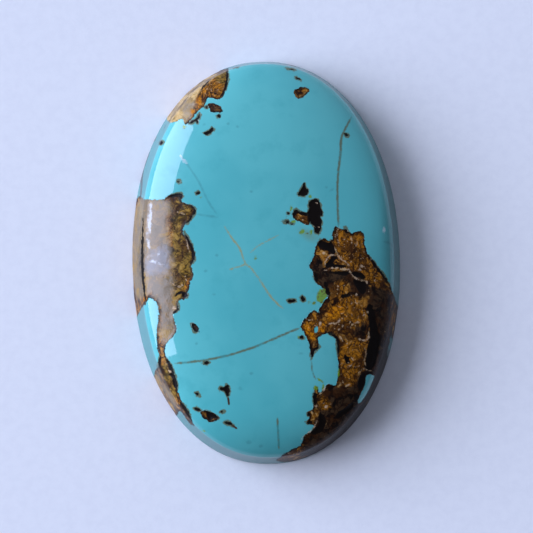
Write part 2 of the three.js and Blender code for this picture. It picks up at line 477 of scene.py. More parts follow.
TOP_PATCH = (
    *patches(Tone.MATRIX,
        ((-2.6, 14.1), (-2.6, 13.1), (-2.8, 12.3), (-3.2, 11.7), (-4.1, 11.8), (-4.3, 11.3), (-4.8, 10.9),
         (-5.3, 10.3), (-5.75, 9.9), (-6.0, 10.4), (-6.7, 10.15), (-7.3, 10.8), (-7.2, 13.0), (-4.8, 15.2),
         (-3.0, 15.2)),
        ((-4.1, 11.4), (-3.6, 11.4), (-3.1, 11.1), (-3.1, 10.75), (-3.7, 10.7), (-4.0, 11.0))),
    *patches(Tone.PALE, ((-6.1, 11.2), (-5.6, 11.8), (-5.0, 11.6), (-5.1, 11.0), (-5.7, 10.3))),
    *patches(Tone.AMBER,
        ((-7.8, 10.2), (-5.9, 13.6), (-3.6, 15.0), (-3.6, 13.5), (-4.5, 12.6), (-5.0, 11.8), (-5.9, 9.8))),
    *patches(Tone.GOLD,
        ((-4.6, 12.5), (-3.8, 13.2), (-3.0, 12.9), (-2.9, 12.2), (-3.4, 11.9), (-4.3, 12.0))),
    *patches(Tone.OLIVE, ((-3.6, 13.3), (-2.9, 14.2), (-2.6, 13.4), (-3.0, 12.9))),
    *patches(Tone.UMBER,
        ((-3.4, 13.2), (-2.8, 13.0), (-2.9, 12.4), (-3.3, 12.1), (-3.7, 12.6)),
        ((-3.9, 11.3), (-3.2, 11.1), (-3.2, 10.85), (-3.7, 10.8))),
    *streaks(Tone.ORANGE, (0.35, (-4.7, 12.0), (-4.75, 11.0))),
    *spots(Tone.PALE, (-6.6, 11.6, 0.9, 0.5, 60)),
    *streaks(Tone.OLIVE, (0.5, (-5.4, 13.3), (-4.8, 13.6), (-4.3, 14.2))),
    *spots(Tone.OLIVE, (-6.6, 10.6, 0.6, 0.25, 60)),
    *spots(Tone.ORANGE, (-5.2, 10.9, 0.4, 0.25, 70)),
    *streaks(Tone.BLACK,
        (0.16, (-2.62, 13.9), (-2.68, 13.0), (-2.9, 12.3), (-3.25, 11.8)),
        (0.12, (-4.6, 12.5), (-4.1, 13.1), (-3.5, 13.7)), (0.12, (-4.0, 12.3), (-3.4, 12.1))),
    *streaks(Tone.CREAM, (0.14, (-4.0, 13.9), (-4.7, 13.0), (-5.4, 12.2))),
    # Twigs and crumbs below it.
    *streaks(Tone.BLACK,
        (0.17, (-4.7, 10.75), (-4.85, 10.3), (-5.5, 10.0)), (0.15, (-4.95, 10.35), (-4.85, 9.95))),
    *patches(Tone.BLACK, ((-4.45, 9.25), (-4.1, 9.35), (-3.8, 9.6), (-3.75, 9.3), (-4.2, 9.05))),
    *spots(Tone.BLACK, (-4.2, 11.15, 0.25, 0.2), (-3.3, 10.4, 0.25, 0.25), (-7.55, 8.7, 0.3, 0.3)),
    *spots(Tone.GREEN, (-5.85, 9.75, 0.3, 0.2)),
)

CLUSTER = (
    *patches(Tone.BLACK,
        ((2.75, 5.4), (2.85, 5.1), (3.0, 4.85), (2.95, 4.6), (2.7, 4.45), (2.25, 4.55), (2.5, 5.0)),
        ((3.1, 4.05), (3.6, 4.2), (3.85, 3.85), (4.0, 3.1), (3.85, 2.9), (3.95, 2.6), (3.75, 1.75),
         (3.4, 1.8), (3.4, 2.2), (3.1, 2.5), (2.95, 3.0), (3.0, 3.5))),
    *patches(Tone.MATRIX,
        ((1.9, 3.3), (2.3, 3.3), (2.85, 3.1), (3.1, 2.6), (3.0, 2.35), (2.7, 2.4), (2.3, 2.6),
         (1.85, 2.85))),
    *streaks(Tone.BLACK, (0.25, (1.95, 2.95), (2.05, 3.35), (2.5, 3.2), (3.0, 3.0))),
    *patches(Tone.GOLD, ((2.1, 2.9), (2.9, 2.7), (3.0, 2.4), (2.6, 2.45))),
    *spots(Tone.GREEN,
        (3.15, 4.35, 0.35, 0.2, -30), (1.85, 2.65, 0.35, 0.25), (2.45, 1.85, 0.42, 0.34),
        (2.8, 1.75, 0.3, 0.15), (3.15, 1.85, 0.3, 0.2, 80)),
    *spots(Tone.CREAM, (3.6, 3.95, 0.2, 0.14)),
    *streaks(Tone.CREAM, (0.1, (3.3, 2.3), (3.5, 2.15), (3.8, 2.2))),
    *streaks(Tone.GREEN, (0.15, (1.75, 3.8), (1.75, 3.3))),
    *spots(Tone.BLACK, (1.5, 3.2, 0.22, 0.16), (1.38, 2.6, 0.38, 0.22, -15), (1.72, 2.45, 0.2, 0.14)),
    *spots(Tone.HALO, (3.0, 1.6, 1.3, 0.6, -30)),
)

VEINS = (
    *streaks(Tone.VEIN,
        (0.17, (5.15, 2.0), (5.13, 4.3), (5.2, 5.8), (5.45, 7.6), (5.6, 8.8), (6.4, 10.3)),
        (0.16, (-6.9, -7.4), (-5.0, -7.25), (-3.0, -6.9), (-1.0, -6.3), (1.0, -5.5), (2.2, -5.05)),
        taper=0.05),
    *streaks(Tone.TAN,
        (0.13, (-3.1, 2.4), (-2.5, 1.4), (-2.05, 0.8), (-1.65, -0.3), (-1.2, -0.75), (-0.6, -1.6),
         (0.0, -2.6), (0.5, -3.2), (1.0, -3.65)), taper=0.05),
    *streaks(Tone.TAN, (0.11, (-1.35, 0.35), (-0.7, 0.9), (0.9, 1.7)), (0.11, (-2.8, -0.75), (-1.6, -0.4))),
    *streaks(Tone.VEIN,
        (0.15, (0.4, -11.4), (0.45, -12.5), (0.5, -13.8)), (0.1, (2.95, -7.4), (3.0, -8.2), (3.25, -8.8))),
    *streaks(Tone.STAIN,
        (0.13, (-6.2, 7.7), (-5.7, 7.0), (-4.9, 5.7), (-4.2, 4.2), (-3.5, 3.1)),
        (0.15, (-5.0, 3.3), (-3.6, 3.05)), (0.16, (8.4, 1.1), (8.9, 1.0), (9.2, 0.7))),
    # A painted glint at the upper end of the stain line.
    *streaks(Tone.PAINTED_GLINT, (0.16, (-6.15, 7.6), (-5.9, 7.25), (-5.7, 7.05))),
)

CRUMBS = (
    # The diamond near the top.
    *patches(Tone.MATRIX,
        ((2.15, 12.1), (2.35, 12.35), (2.95, 12.5), (3.35, 12.2), (2.6, 11.55), (2.3, 11.75))),
    # The little row beside the big patch.
    *streaks(Tone.BLACK, (0.22, (1.35, -3.1), (1.9, -3.12))),
    *spots(Tone.BLACK, (2.45, -3.0, 0.42, 0.32, -60), (2.3, -5.75, 0.32, 0.26)),
    *spots(Tone.GREEN, (2.85, -3.25, 0.22, 0.14), (3.2, -3.3, 0.3, 0.22), (2.05, -5.65, 0.16, 0.14)),
    # Single inclusions.
    *spots(Tone.BLACK,
        (5.95, 8.9, 0.32, 0.22, -40), (-6.3, 5.75, 0.24, 0.2), (-4.95, 4.85, 0.25, 0.2),
        (-4.6, -7.4, 0.42, 0.28), (-5.3, -9.65, 0.32, 0.2, -50), (-3.55, -10.95, 0.24, 0.16),
        (-3.1, -11.8, 0.55, 0.24, -20)),
    *spots(Tone.GREEN, (-4.8, 4.55, 0.2, 0.14), (-0.9, 0.0, 0.3, 0.18, 80), (-4.9, -12.35, 0.26, 0.14)),
    *spots(Tone.MATRIX, (-5.4, -4.85, 0.8, 0.42, -60)),
    *streaks(Tone.BLACK,
        (0.14, (-5.6, -4.6), (-5.4, -5.1), (-5.2, -5.1)), (0.22, (-5.55, -10.65), (-5.1, -10.85))),
    *patches(Tone.BLACK,
        ((-3.65, -9.15), (-3.4, -9.2), (-3.1, -9.0), (-2.95, -9.5), (-3.15, -9.85), (-3.35, -9.5),
         (-3.65, -9.4)),
        ((-4.75, -10.95), (-4.4, -10.95), (-3.8, -11.4), (-4.2, -11.45), (-4.5, -11.6))),
    *streaks(Tone.UMBER, (0.16, (-3.1, -9.9), (-3.05, -10.5)), (0.14, (-2.9, -11.9), (-2.5, -12.2))),
    *patches(Tone.MATRIX, ((-5.1, -10.9), (-4.5, -10.85), (-3.8, -11.4), (-4.4, -11.7), (-5.0, -11.3))),
    # A painted glint on the right shoulder.
    *spots(Tone.PAINTED_GLINT, (8.5, 1.9, 0.28, 0.14, 80)),
    # Marks on the top edge.
    *spots(Tone.BLACK, (2.1, 13.9, 0.4, 0.14, -15), (-2.0, 14.2, 0.4, 0.14, 10)),
    *streaks(Tone.BLACK, (0.13, (2.35, 13.25), (2.7, 13.05))),
    # Faint spots under the polish.
    *spots(Tone.STAIN,
        (-4.4, 9.85, 0.22, 0.18), (-2.65, 9.85, 0.2, 0.18), (-2.0, 9.6, 0.2, 0.16), (-1.1, 4.85, 0.22, 0.2),
        (-3.7, 0.3, 0.26, 0.22), (-4.5, -0.8, 0.26, 0.2), (-3.95, -2.5, 0.22, 0.18),
        (4.35, 5.05, 0.22, 0.18), (4.7, 4.85, 0.34, 0.16, 30), (-1.4, -8.25, 0.25, 0.2),
        (-5.3, -6.0, 0.22, 0.2), (-2.2, -9.3, 0.3, 0.25), (2.2, -6.9, 0.4, 0.14), (-1.65, -13.2, 0.4, 0.3),
        (-0.8, -13.5, 0.3, 0.25)),
)

MARKS: tuple[Mark, ...] = BIG_PATCH + LEFT_PATCH + TOP_PATCH + CLUSTER + VEINS + CRUMBS


# ---------------------------------------------------------------------------------------------
# The stone
# ---------------------------------------------------------------------------------------------

def run_length(sideways: np.ndarray, upwards: np.ndarray) -> np.ndarray:
    """Distance along a line of points from the first of them to each."""
    return np.concatenate([[0.0], np.cumsum(np.hypot(np.diff(sideways), np.diff(upwards)))])


@dataclass(frozen=True)
class StoneShape:
    """The section of the stone and the outline that it is carried round, in millimetres."""

    half_width: float
    half_length: float
    height: float
    girdle_height: float = 3.3
    side_inset: float = 0.75        # how far in the girdle lies from the foot, at the sides
    end_inset: float = 0.62         # the same at the ends
    back_bevel: float = 0.2
    outline_power: float = 2.15     # 2 for an ellipse, more for a squarer oval
    dome_end_share: float = 1.1     # k of the dome's half length, for a girdle as long as wide
    dome_power: float = 2.0         # p of the dome
    shoulder_power: float = 2.6     # q of the dome
    dome_reach: float = 0.985
    rounding: float = 0.10          # half the length of section over which an edge is rounded
    dome_crowding: float = 1.6      # how much closer the dome's steps lie towards the girdle
    dome_steps: int = 900           # rows of the section
    wall_steps: int = 300
    bevel_steps: int = 40
    back_steps: int = 600

    @classmethod
    def from_frame(cls, node: str) -> "StoneShape":
        """Takes the three outer sizes from the frame.

        Args:
            node: the node whose box gives them.

        Returns:
            The shape with those sizes.
        """
        low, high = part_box(node)
        size = (high - low) / MM
        return cls(half_width=size.x / 2, half_length=size.y / 2, height=size.z)

    def bent(self, value: np.ndarray) -> np.ndarray:
        """A cosine or sine raised to the power 2 / outline_power, which squares the circle up."""
        return np.sign(value) * np.abs(value) ** (2 / self.outline_power)

    def sharp_section(self) -> np.ndarray:
        """The section with sharp edges.

        The dome follows f(r) = (1 - r^p)^(1/q), where r goes from 0 at the crown to dome_reach at
        the girdle, so that its upright foot is left out. Its half length is that of the girdle
        times 1 - k d - (1 - k) d^2, where d goes from 0 at the girdle to 1 at the crown. Wall,
        bevel and back are straight.

        Returns:
            Rows of half width, half length and height, from the crown to the middle of the back.
        """
        girdle_width = self.half_width - self.side_inset
        girdle_length = self.half_length - self.end_inset
        inset = np.linspace(1, 0, self.dome_steps) ** self.dome_crowding
        share = self.dome_end_share * girdle_width / girdle_length
        reach = self.dome_reach * np.append(1 - inset, 1.0)
        curve = (1 - reach**self.dome_power) ** (1 / self.shoulder_power)
        rise = (curve[:-1] - curve[-1]) / (1 - curve[-1])
        dome = np.stack([girdle_width * (1 - inset),
                         girdle_length * (1 - share * inset - (1 - share) * inset**2),
                         self.girdle_height + (self.height - self.girdle_height) * rise], 1)
        foot = np.array([self.half_width, self.half_length, self.back_bevel])
        back_width = self.half_width - self.back_bevel
        back_share = 1 - self.back_bevel / self.side_inset
        back_length = girdle_length + self.end_inset * back_share
        rim = np.array([back_width, back_length, 0.0])
        straights = [(dome[-1], foot, self.wall_steps), (foot, rim, self.bevel_steps),
                     (rim, np.zeros(3), self.back_steps)]
        parts = [start + (end - start) * np.linspace(0, 1, steps + 1)[1:, None]
                 for start, end, steps in straights]
        return np.vstack([dome, *parts])

    def rounded_section(self) -> tuple[np.ndarray, np.ndarray]:
        """The section with each point moved to the mean of the stretch of section around it.

        Returns:
            The distance along the section at the sides, and the rows of half width, half length
            and height that go with it.
        """
        rows = self.sharp_section()
        along = run_length(rows[:, 0], rows[:, 2])
        means = (rows[1:] + rows[:-1]) / 2 * np.diff(along)[:, None]
        total = np.vstack([np.zeros(3), np.cumsum(means, axis=0)])
        reach = np.minimum(self.rounding, np.minimum(along, along[-1] - along))
        ahead = [np.interp(along + reach, along, column) for column in total.T]
        behind = [np.interp(along - reach, along, column) for column in total.T]
        mean = (np.stack(ahead, 1) - np.stack(behind, 1)) / np.maximum(2 * reach, TINY)[:, None]
        ends = reach < self.rounding / 100
        mean[ends] = rows[ends]
        return along, mean

    def edge_distances(self) -> tuple[float, float, float]:
        """Finds the edges of the section.

        Returns:
            The distances along the section at the sides to the girdle, the foot and the rim.
        """
        rows = self.sharp_section()
        along = run_length(rows[:, 0], rows[:, 2])
        girdle, foot, rim = (float(along[np.argmax(rows[:, 2] <= level + TINY)])
                             for level in (self.girdle_height, self.back_bevel, 0.0))
        return girdle, foot, rim


@dataclass(frozen=True)
class Grid:
    """How finely the stone's surface is divided; lengths run along the section, in millimetres."""

    across: int = 180           # squares of the dome's grid
    along: int = 280
    rim_width: float = 0.24     # outer part of the dome that belongs to the rings
    edge_reach: float = 0.09    # from the girdle, or up from the foot, to where the wall's rings are
    girdle_reach: float = 0.05  # from the girdle up to the first of its close rings
    bevel_reach: float = 0.03   # past the bevel, on both sides
    back_gap: float = 0.1       # from the rim to the first ring of the back
    back_band: float = 2.6      # outer part of the back, with closer rings
    dome_rings: int = 3         # places for rings on each stretch, with its ends
    girdle_rings: int = 4
    wall_rings: int = 15
    bevel_rings: int = 5
    back_rings: int = 9
    inner_rings: int = 8

    def stations(self, girdle: float, foot: float, rim: float, middle: float) -> np.ndarray:
        """Places the rings outside the dome's grid.

        Args:
            girdle: distance along the section from the crown to the girdle.
            foot: the same to the foot of the wall.
            rim: the same to the rim of the back.
            middle: the same to the middle of the back.

        Returns:
            The distance along the section of each ring.
        """
        over, under = girdle + self.edge_reach, foot - self.edge_reach
        return np.concatenate([
            np.linspace(girdle - self.rim_width, girdle - self.edge_reach, self.dome_rings)[1:],
            np.linspace(girdle - self.girdle_reach, over, self.girdle_rings),
            np.linspace(over, under, self.wall_rings)[1:],
            np.linspace(foot - self.bevel_reach, rim + self.bevel_reach, self.bevel_rings),
            np.linspace(rim + self.back_gap, rim + self.back_band, self.back_rings),
            np.linspace(rim + self.back_band, middle, self.inner_rings)[1:-1],
        ])


@dataclass(frozen=True)
class Surface:
    """The stone as arrays, in millimetres."""

    points: np.ndarray
    triangles: np.ndarray
    reach: np.ndarray        # each point's distance along the section from the crown
    rim_reach: float         # the rim's
    unrolled: np.ndarray     # each point's place with the dome and wall laid out flat

    def normals(self) -> np.ndarray:
        """Finds the unit normals at the points, each from the sum of its triangles' area vectors.

        Returns:
            (n, 3) normals, which point outwards.
        """
        a, b, c = (self.points[self.triangles[:, corner]] for corner in range(3))
        area = np.cross(b - a, c - a)
        total = np.stack([
            np.bincount(self.triangles.ravel(), np.repeat(area[:, axis], 3), len(self.points))
            for axis in range(3)], 1)
        return total / np.linalg.norm(total, axis=1, keepdims=True)


def build_surface(shape: StoneShape, grid: Grid) -> Surface:
    """Covers the stone with triangles.

    The dome is a square grid (a, b) from -1 to 1, drawn on to a disc by
    x = a sqrt(1 - b^2 / 2), y = b sqrt(1 - a^2 / 2). The distance from the disc's middle is the
    share of the section from the crown to just inside the girdle. Rings with the grid's edge
    points follow the section on from there, over the girdle, down the wall and in to the middle
    of the back.

    Args:
        shape: the section and the outline.
        grid: the number of steps.

    Returns:
        The surface, with its faces pointing out.
    """
    section_at, section = shape.rounded_section()
    girdle, foot, rim = shape.edge_distances()
    end_distance = run_length(section[:, 1], section[:, 2])

    a, b = np.meshgrid(np.linspace(-1, 1, grid.across + 1), np.linspace(-1, 1, grid.along + 1))
    disc_x, disc_y = a * np.sqrt(1 - b**2 / 2), b * np.sqrt(1 - a**2 / 2)
    index = np.arange(a.size).reshape(a.shape)
    edge = np.concatenate([index[0, :-1], index[:-1, -1], index[-1, :0:-1], index[:0:-1, 0]])
    stations = grid.stations(girdle, foot, rim, section_at[-1])
    dome_turn = np.arctan2(disc_y, disc_x).ravel()
    reach = np.concatenate([np.hypot(disc_x, disc_y).ravel() * (girdle - grid.rim_width),
                            np.repeat(stations, len(edge)), section_at[-1:]])
    turn = np.concatenate([dome_turn, np.tile(dome_turn[edge], len(stations)), [0.0]])

    half_width, half_length, height = (np.interp(reach, section_at, column) for column in section.T)
    cosine, sine = shape.bent(np.cos(turn)), shape.bent(np.sin(turn))
    points = np.stack([half_width * cosine, half_length * sine, height], 1)
    unrolled = np.stack([reach * cosine, np.interp(reach, section_at, end_distance) * sine], 1)

    low_left, low_right = index[:-1, :-1].ravel(), index[:-1, 1:].ravel()
    high_left, high_right = index[1:, :-1].ravel(), index[1:, 1:].ravel()
    middle_a, middle_b = (a[:-1, :-1] + a[1:, 1:]).ravel(), (b[:-1, :-1] + b[1:, 1:]).ravel()
    rising = (middle_a * middle_b > 0)[:, None]
    first = np.where(rising, np.stack([low_left, low_right, high_right], 1),
                     np.stack([low_left, low_right, high_left], 1))
    second = np.where(rising, np.stack([low_left, high_right, high_left], 1),
                      np.stack([low_right, high_right, high_left], 1))

    rings = a.size + np.arange(len(stations) * len(edge)).reshape(len(stations), len(edge))
    rings = np.vstack([edge, rings])
    inner, outer = rings[:-1].ravel(), rings[1:].ravel()
    inner_next, outer_next = np.roll(rings[:-1], -1, 1).ravel(), np.roll(rings[1:], -1, 1).ravel()
    last = rings[-1]
    pole = np.full(len(last), len(points) - 1)
    triangles = np.vstack([
        first, second,
        np.stack([inner, outer, outer_next], 1), np.stack([inner, outer_next, inner_next], 1),
        np.stack([last, pole, np.roll(last, -1)], 1)])
    return Surface(points, triangles, reach, rim, unrolled)


@dataclass(frozen=True)
class Waves:
    """One layer of smooth noise on the surface, in millimetres."""

    height: float
    wavelength: float
    seed: int

    def at(self, points: np.ndarray) -> np.ndarray:
        """The height of the waves at each point, from -height to height."""
        return self.height * lattice_noise(points, self.wavelength, self.seed)


@dataclass(frozen=True)
class Relief:
    """How far parts of the surface lie in from the smooth shape, in millimetres."""

    polished: tuple[Waves, ...] = (Waves(0.010, 5.0, 11), Waves(0.003, 1.7, 12))
    lumpy: tuple[Waves, ...] = (Waves(0.012, 0.7, 13), Waves(0.008, 0.33, 14))
    everywhere: float = 0.02
    in_matrix: float = 0.022
    in_black: float = 0.03
    least: float = 0.001
    matrix_edge: tuple[float, float] = (-0.02, 0.18)    # depths between which the sinking grows
    black_edge: tuple[float, float] = (-0.02, 0.15)

    def lift(self, points: np.ndarray, depths: dict[Tone, np.ndarray]) -> np.ndarray:
        """Works out how far each point moves along its normal: never outwards.

        Args:
            points: (n, 3) points in millimetres.
            depths: the depth of each point inside each tone.

        Returns:
            The distances, all below 0.
        """
        matrix = ramp_up(depths[Tone.MATRIX], *self.matrix_edge)
        black = ramp_up(depths[Tone.BLACK], *self.black_edge)
        waves = sum(layer.at(points) for layer in self.polished)
        lumps = sum(layer.at(points) for layer in self.lumpy)
        lift = waves - self.everywhere + matrix * (lumps - self.in_matrix) - self.in_black * black
        return np.minimum(lift, -self.least)


@dataclass(frozen=True)
class Drift:
    """How the marks wander off their plan down the wall and on the back, in millimetres."""

    on_back: float = 1.6
    back_run: float = 3.0       # distance in from the rim over which the back's drift grows
    down_wall: float = 0.35     # for each millimetre below the girdle
    wavelength: float = 2.5
    seeds: tuple[int, int] = (71, 72)

    def plan(self, surface: Surface, girdle_height: float) -> np.ndarray:
        """Finds where each point looks for its marks.

        Args:
            surface: the stone's surface.
            girdle_height: the height at which the drift down the wall begins.

        Returns:
            (n, 2) places on the plan of the marks.
        """
        on_back = surface.reach > surface.rim_reach
        inward = np.clip((surface.reach - surface.rim_reach) / self.back_run, 0, 1) * on_back
        down = np.clip(girdle_height - surface.points[:, 2], 0, None) * ~on_back
        noise = [lattice_noise(surface.points, self.wavelength, seed) for seed in self.seeds]
        size = self.on_back * inward + self.down_wall * down
        return surface.points[:, :2] + size[:, None] * np.stack(noise, 1)


@dataclass
class Cabochon:
    """The stone: builds its surface, lays out its marks, gives it relief and dresses it."""

    shape: StoneShape
    marks: tuple[Mark, ...]
    finish: "TurquoiseFinish"
    grid: Grid = Grid()
    drift: Drift = Drift()
    relief: Relief = Relief()
    sawn_edge: float = 0.05     # half the width of the step from polished to sawn
    uv_gap: float = 0.01        # margin round each part of the UV map

    def depths(self, surface: Surface) -> dict[Tone, np.ndarray]:
        """Lays out the marks.

        Args:
            surface: the stone's surface.

        Returns:
            For each tone, the most depth that any mark of it gives to each point.
        """
        plan = self.drift.plan(surface, self.shape.girdle_height)
        result = {tone: np.full(len(plan), FAR_OUT) for tone in Tone}
        for mark in self.marks:
            result[mark.tone] = np.maximum(result[mark.tone], mark.depth(plan))
        return {tone: np.clip(depth, FAR_OUT, DEEP_IN) for tone, depth in result.items()}

    def build(self) -> bpy.types.Object:
        """Makes the stone's mesh, with an attribute for each tone, a UV map and its finish.

        Returns:
            The stone, linked to the scene.
        """
        surface = build_surface(self.shape, self.grid)
        depths = self.depths(surface)
        lift = self.relief.lift(surface.points, depths)
        points = surface.points + surface.normals() * lift[:, None]
        mesh = bpy.data.meshes.new("cabochon_stone")
        mesh.vertices.add(len(points))
        mesh.vertices.foreach_set("co", (points * MM).astype(np.float32).ravel())
        mesh.loops.add(surface.triangles.size)
        mesh.loops.foreach_set("vertex_index", surface.triangles.astype(np.int32).ravel())
        mesh.polygons.add(len(surface.triangles))
        starts = np.arange(0, surface.triangles.size, 3, dtype=np.int32)
        mesh.polygons.foreach_set("loop_start", starts)
        mesh.update(calc_edges=True)
        mesh.shade_smooth()
        layers = {tone.value: depth for tone, depth in depths.items()}
        layers[SAWN] = ramp_up(surface.reach - surface.rim_reach, -self.sawn_edge, self.sawn_edge)
        for name, values in layers.items():
            layer = mesh.attributes.new(name, "FLOAT", "POINT")
            layer.data.foreach_set("value", values.astype(np.float32))
        self.map_uv(mesh, surface)
        mesh.validate()
        mesh.materials.append(self.finish.build())
        stone = bpy.data.objects.new("cabochon_stone", mesh)
        bpy.context.scene.collection.objects.link(stone)
        return stone

    def map_uv(self, mesh: bpy.types.Mesh, surface: Surface) -> None:
        """Lays out the UV map: the dome and wall, unrolled, and beside them the back.

        Args:
            mesh: the stone's mesh, whose triangles are those of the surface.
            surface: the stone's surface.
        """
        top, back = surface.unrolled, surface.points[:, :2]
        on_top = surface.reach <= surface.rim_reach + TINY
        start = top[on_top].min(0)
        span = top[on_top].max(0) - start
        scale = (1 - 2 * self.uv_gap) / span[1]
        top_uv = self.uv_gap + (top - start) * scale
        back_left = self.uv_gap * 2 + span[0] * scale
        back_scale = (1 - self.uv_gap - back_left) / (2 * self.shape.half_width)
        back_uv = np.array([back_left, self.uv_gap]) + (back - back.min(0)) * back_scale
        corners = surface.triangles
        is_back = np.all(surface.reach[corners] > surface.rim_reach - TINY, axis=1)
        uv = np.where(is_back[:, None, None], back_uv[corners], top_uv[corners])
        layer = mesh.uv_layers.new(name=UV_MAP)
        layer.uv.foreach_set("vector", uv.astype(np.float32).ravel())


# ---------------------------------------------------------------------------------------------
# Finishes
# ---------------------------------------------------------------------------------------------

Socket = bpy.types.NodeSocket
Value = float | Colour | Socket


class Graph:
    """Adds nodes to one node tree and links them as they are made."""

    def __init__(self, tree: bpy.types.NodeTree) -> None:
        """Takes the tree that the nodes go into."""
        self.tree = tree

    def add(self, kind: str, inputs: dict | None = None, **settings: object) -> bpy.types.Node:
        """Adds a node.

        Args:
            kind: the type of node.
            inputs: for each input, by its name or number, a socket to link or a value to set.
            settings: the node's own properties.

        Returns:
            The node.
        """
        node = self.tree.nodes.new(kind)
        for name, value in settings.items():
            setattr(node, name, value)
        for key, value in (inputs or {}).items():
            if isinstance(value, Socket):
                self.tree.links.new(value, node.inputs[key])
            elif isinstance(value, tuple) and len(value) == 3 and node.inputs[key].type == "RGBA":
                node.inputs[key].default_value = (*value, 1.0)
            else:
                node.inputs[key].default_value = value
        return node

    def math(self, operation: str, a: Value, b: Value = 0.0, c: Value = 0.0) -> Socket:
        """One arithmetic step."""
        return self.add("ShaderNodeMath", {0: a, 1: b, 2: c}, operation=operation).outputs[0]

    def times(self, a: Value, b: Value) -> Socket:
        """The product of a and b."""
        return self.math("MULTIPLY", a, b)

    def line(self, value: Value, slope: Value, start: Value) -> Socket:
        """The value times slope, plus start."""
        return self.math("MULTIPLY_ADD", value, slope, start)

    def larger(self, a: Value, b: Value) -> Socket:
        """The larger of a and b."""
        return self.math("MAXIMUM", a, b)

    def left_of(self, whole: float, value: Value) -> Socket:
        """What is left of the whole without the value."""
        return self.math("SUBTRACT", whole, value)

    def ease(self, value: Value, low: Value, high: Value) -> Socket:
        """0 at low, 1 at high, and a smooth step between; low may be the larger of the two."""
        return self.add("ShaderNodeMapRange", {0: value, 1: low, 2: high},
                        interpolation_type="SMOOTHSTEP").outputs[0]

    def mix(self, share: Value, a: Value, b: Value) -> Socket:
        """Colour a where share is 0, and b where it is 1."""
        return self.add("ShaderNodeMix", {0: share, 6: a, 7: b}, data_type="RGBA").outputs[2]

    def noise(self, vector: Value, scale: Value, detail: float, roughness: float) -> Socket:
        """Noise from 0 to 1 with scale features per unit of the vector."""
        return self.add("ShaderNodeTexNoise", {"Vector": vector, "Scale": scale, "Detail": detail,
                                               "Roughness": roughness}).outputs[0]

    def vector(self, operation: str, inputs: dict) -> Socket:
        """One step of vector arithmetic."""
        return self.add("ShaderNodeVectorMath", inputs, operation=operation).outputs[0]

    def attribute(self, name: str) -> Socket:
        """The value of a mesh attribute."""
        return self.add("ShaderNodeAttribute", attribute_name=name).outputs["Fac"]

    def place_in_mm(self) -> Socket:
        """Object coordinates in millimetres."""
        return self.vector("SCALE", {0: self.add("ShaderNodeTexCoord").outputs["Object"], 3: 1 / MM})


def marked_area_group() -> bpy.types.NodeTree:
    """A mask that is 1 inside a mark, with an edge that wanders by noise.

    Inputs: Vector in millimetres, Depth inside the mark, Wander and Softness of the edge in
    millimetres, and Steps, the wandering's steps per millimetre. Output: Mask.

    Returns:
        The node group.
    """
    tree = bpy.data.node_groups.new("marked_area", "ShaderNodeTree")
    tree.interface.new_socket("Vector", in_out="INPUT", socket_type="NodeSocketVector")
    for name in ("Depth", "Wander", "Softness", "Steps"):
        tree.interface.new_socket(name, in_out="INPUT", socket_type="NodeSocketFloat")
    tree.interface.new_socket("Mask", in_out="OUTPUT", socket_type="NodeSocketFloat")
    graph = Graph(tree)
    given = graph.add("NodeGroupInput").outputs
    noise = graph.noise(given["Vector"], given["Steps"], 5.0, 0.68)
    wandering = graph.line(graph.line(noise, 2.0, -1.0), given["Wander"], given["Depth"])
    half = graph.times(given["Softness"], 0.5)
    graph.add("NodeGroupOutput", {"Mask": graph.ease(wandering, graph.times(half, -1.0), half)})
    return tree


@dataclass(frozen=True)
class Cover:
    """How one kind of mark covers what lies under it, with lengths in millimetres."""

    wander: float            # how far its edge wanders from the outline
    softness: float          # how wide its edge is
    steps: float = 3.0       # how often the edge wanders in a millimetre
    grow: float = 0.0        # how far the mark reaches past its outline
    share: float = 1.0       # how much it hides


@dataclass(frozen=True)
class Covers:
    """The cover of every kind of mark on the stone."""

    halo: Cover = Cover(0.08, 0.60)
    stain: Cover = Cover(0.08, 0.12)
    vein: Cover = Cover(0.08, 0.10)
    umber_ground: Cover = Cover(0.45, 0.30, 1.5)
    umber_crumb: Cover = Cover(0.05, 0.05)
    amber: Cover = Cover(0.30, 0.30, 1.5)
    gold: Cover = Cover(0.50, 0.30, 1.5, share=0.75)
    olive: Cover = Cover(0.50, 0.30, 1.5, share=0.85)
    pale: Cover = Cover(0.50, 0.60, 1.2, share=0.84)
    orange: Cover = Cover(0.35, 0.25, 2.0)
    veil: Cover = Cover(0.90, 0.70, 1.0, share=0.6)
    seam: Cover = Cover(0.18, 0.07, 4.0, -0.03)
    matrix: Cover = Cover(0.20, 0.05, 2.8)
    matrix_core: Cover = Cover(0.26, 0.10, 2.8, -0.14)
    island: Cover = Cover(0.12, 0.08)
    fringe: Cover = Cover(0.24, 0.08, 3.0, 0.08)
    green: Cover = Cover(0.22, 0.10, share=0.95)
    black: Cover = Cover(0.18, 0.05, 3.4)
    # The cover of the painted glints.
    painted_glint: Cover = Cover(0.30, 0.14, 2.5)


